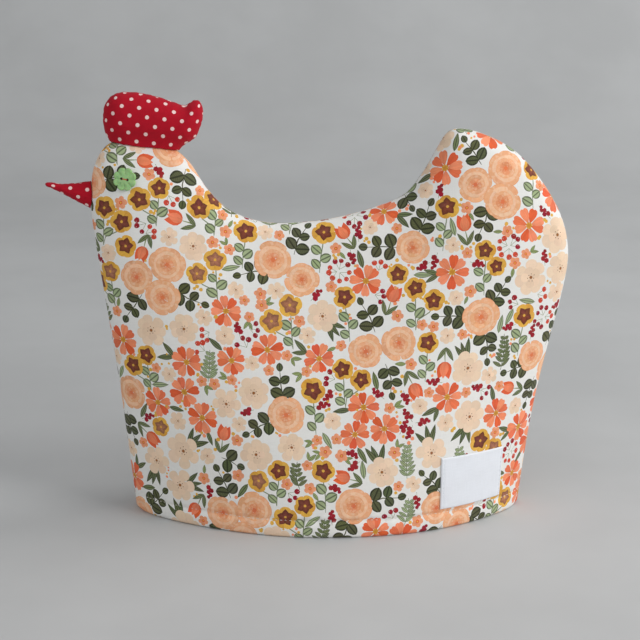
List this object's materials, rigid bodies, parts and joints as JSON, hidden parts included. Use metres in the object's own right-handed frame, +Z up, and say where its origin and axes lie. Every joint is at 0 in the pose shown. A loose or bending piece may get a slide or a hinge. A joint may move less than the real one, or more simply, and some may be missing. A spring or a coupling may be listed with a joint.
{
  "type": "tea cosy",
  "caption": "Padded fabric tea cosy in the outline of a sitting hen, open at the hem, with stuffed comb and beak, button eyes and a plain label.",
  "frame": {"origin": "middle of the footprint, in the plane that the hem rests on", "axes": "+Z up, +X from the beak towards the tail, front panel with the label towards -Y"},
  "size_m": [0.329, 0.1222, 0.2709],
  "materials": {
    "printed_cotton": "matte printed cotton, flowers on an off-white ground",
    "dotted_cotton": "matte crimson cotton with small white dots",
    "button": "soft gloss, pale green",
    "label_cotton": "smooth white cotton"
  },
  "bodies": {
    "root": {"front_panel": "printed_cotton", "back_panel": "printed_cotton", "comb": "dotted_cotton", "beak": "dotted_cotton", "eye_button": "button", "eye_button_back": "button", "label": "label_cotton"}
  },
  "joints": []
}
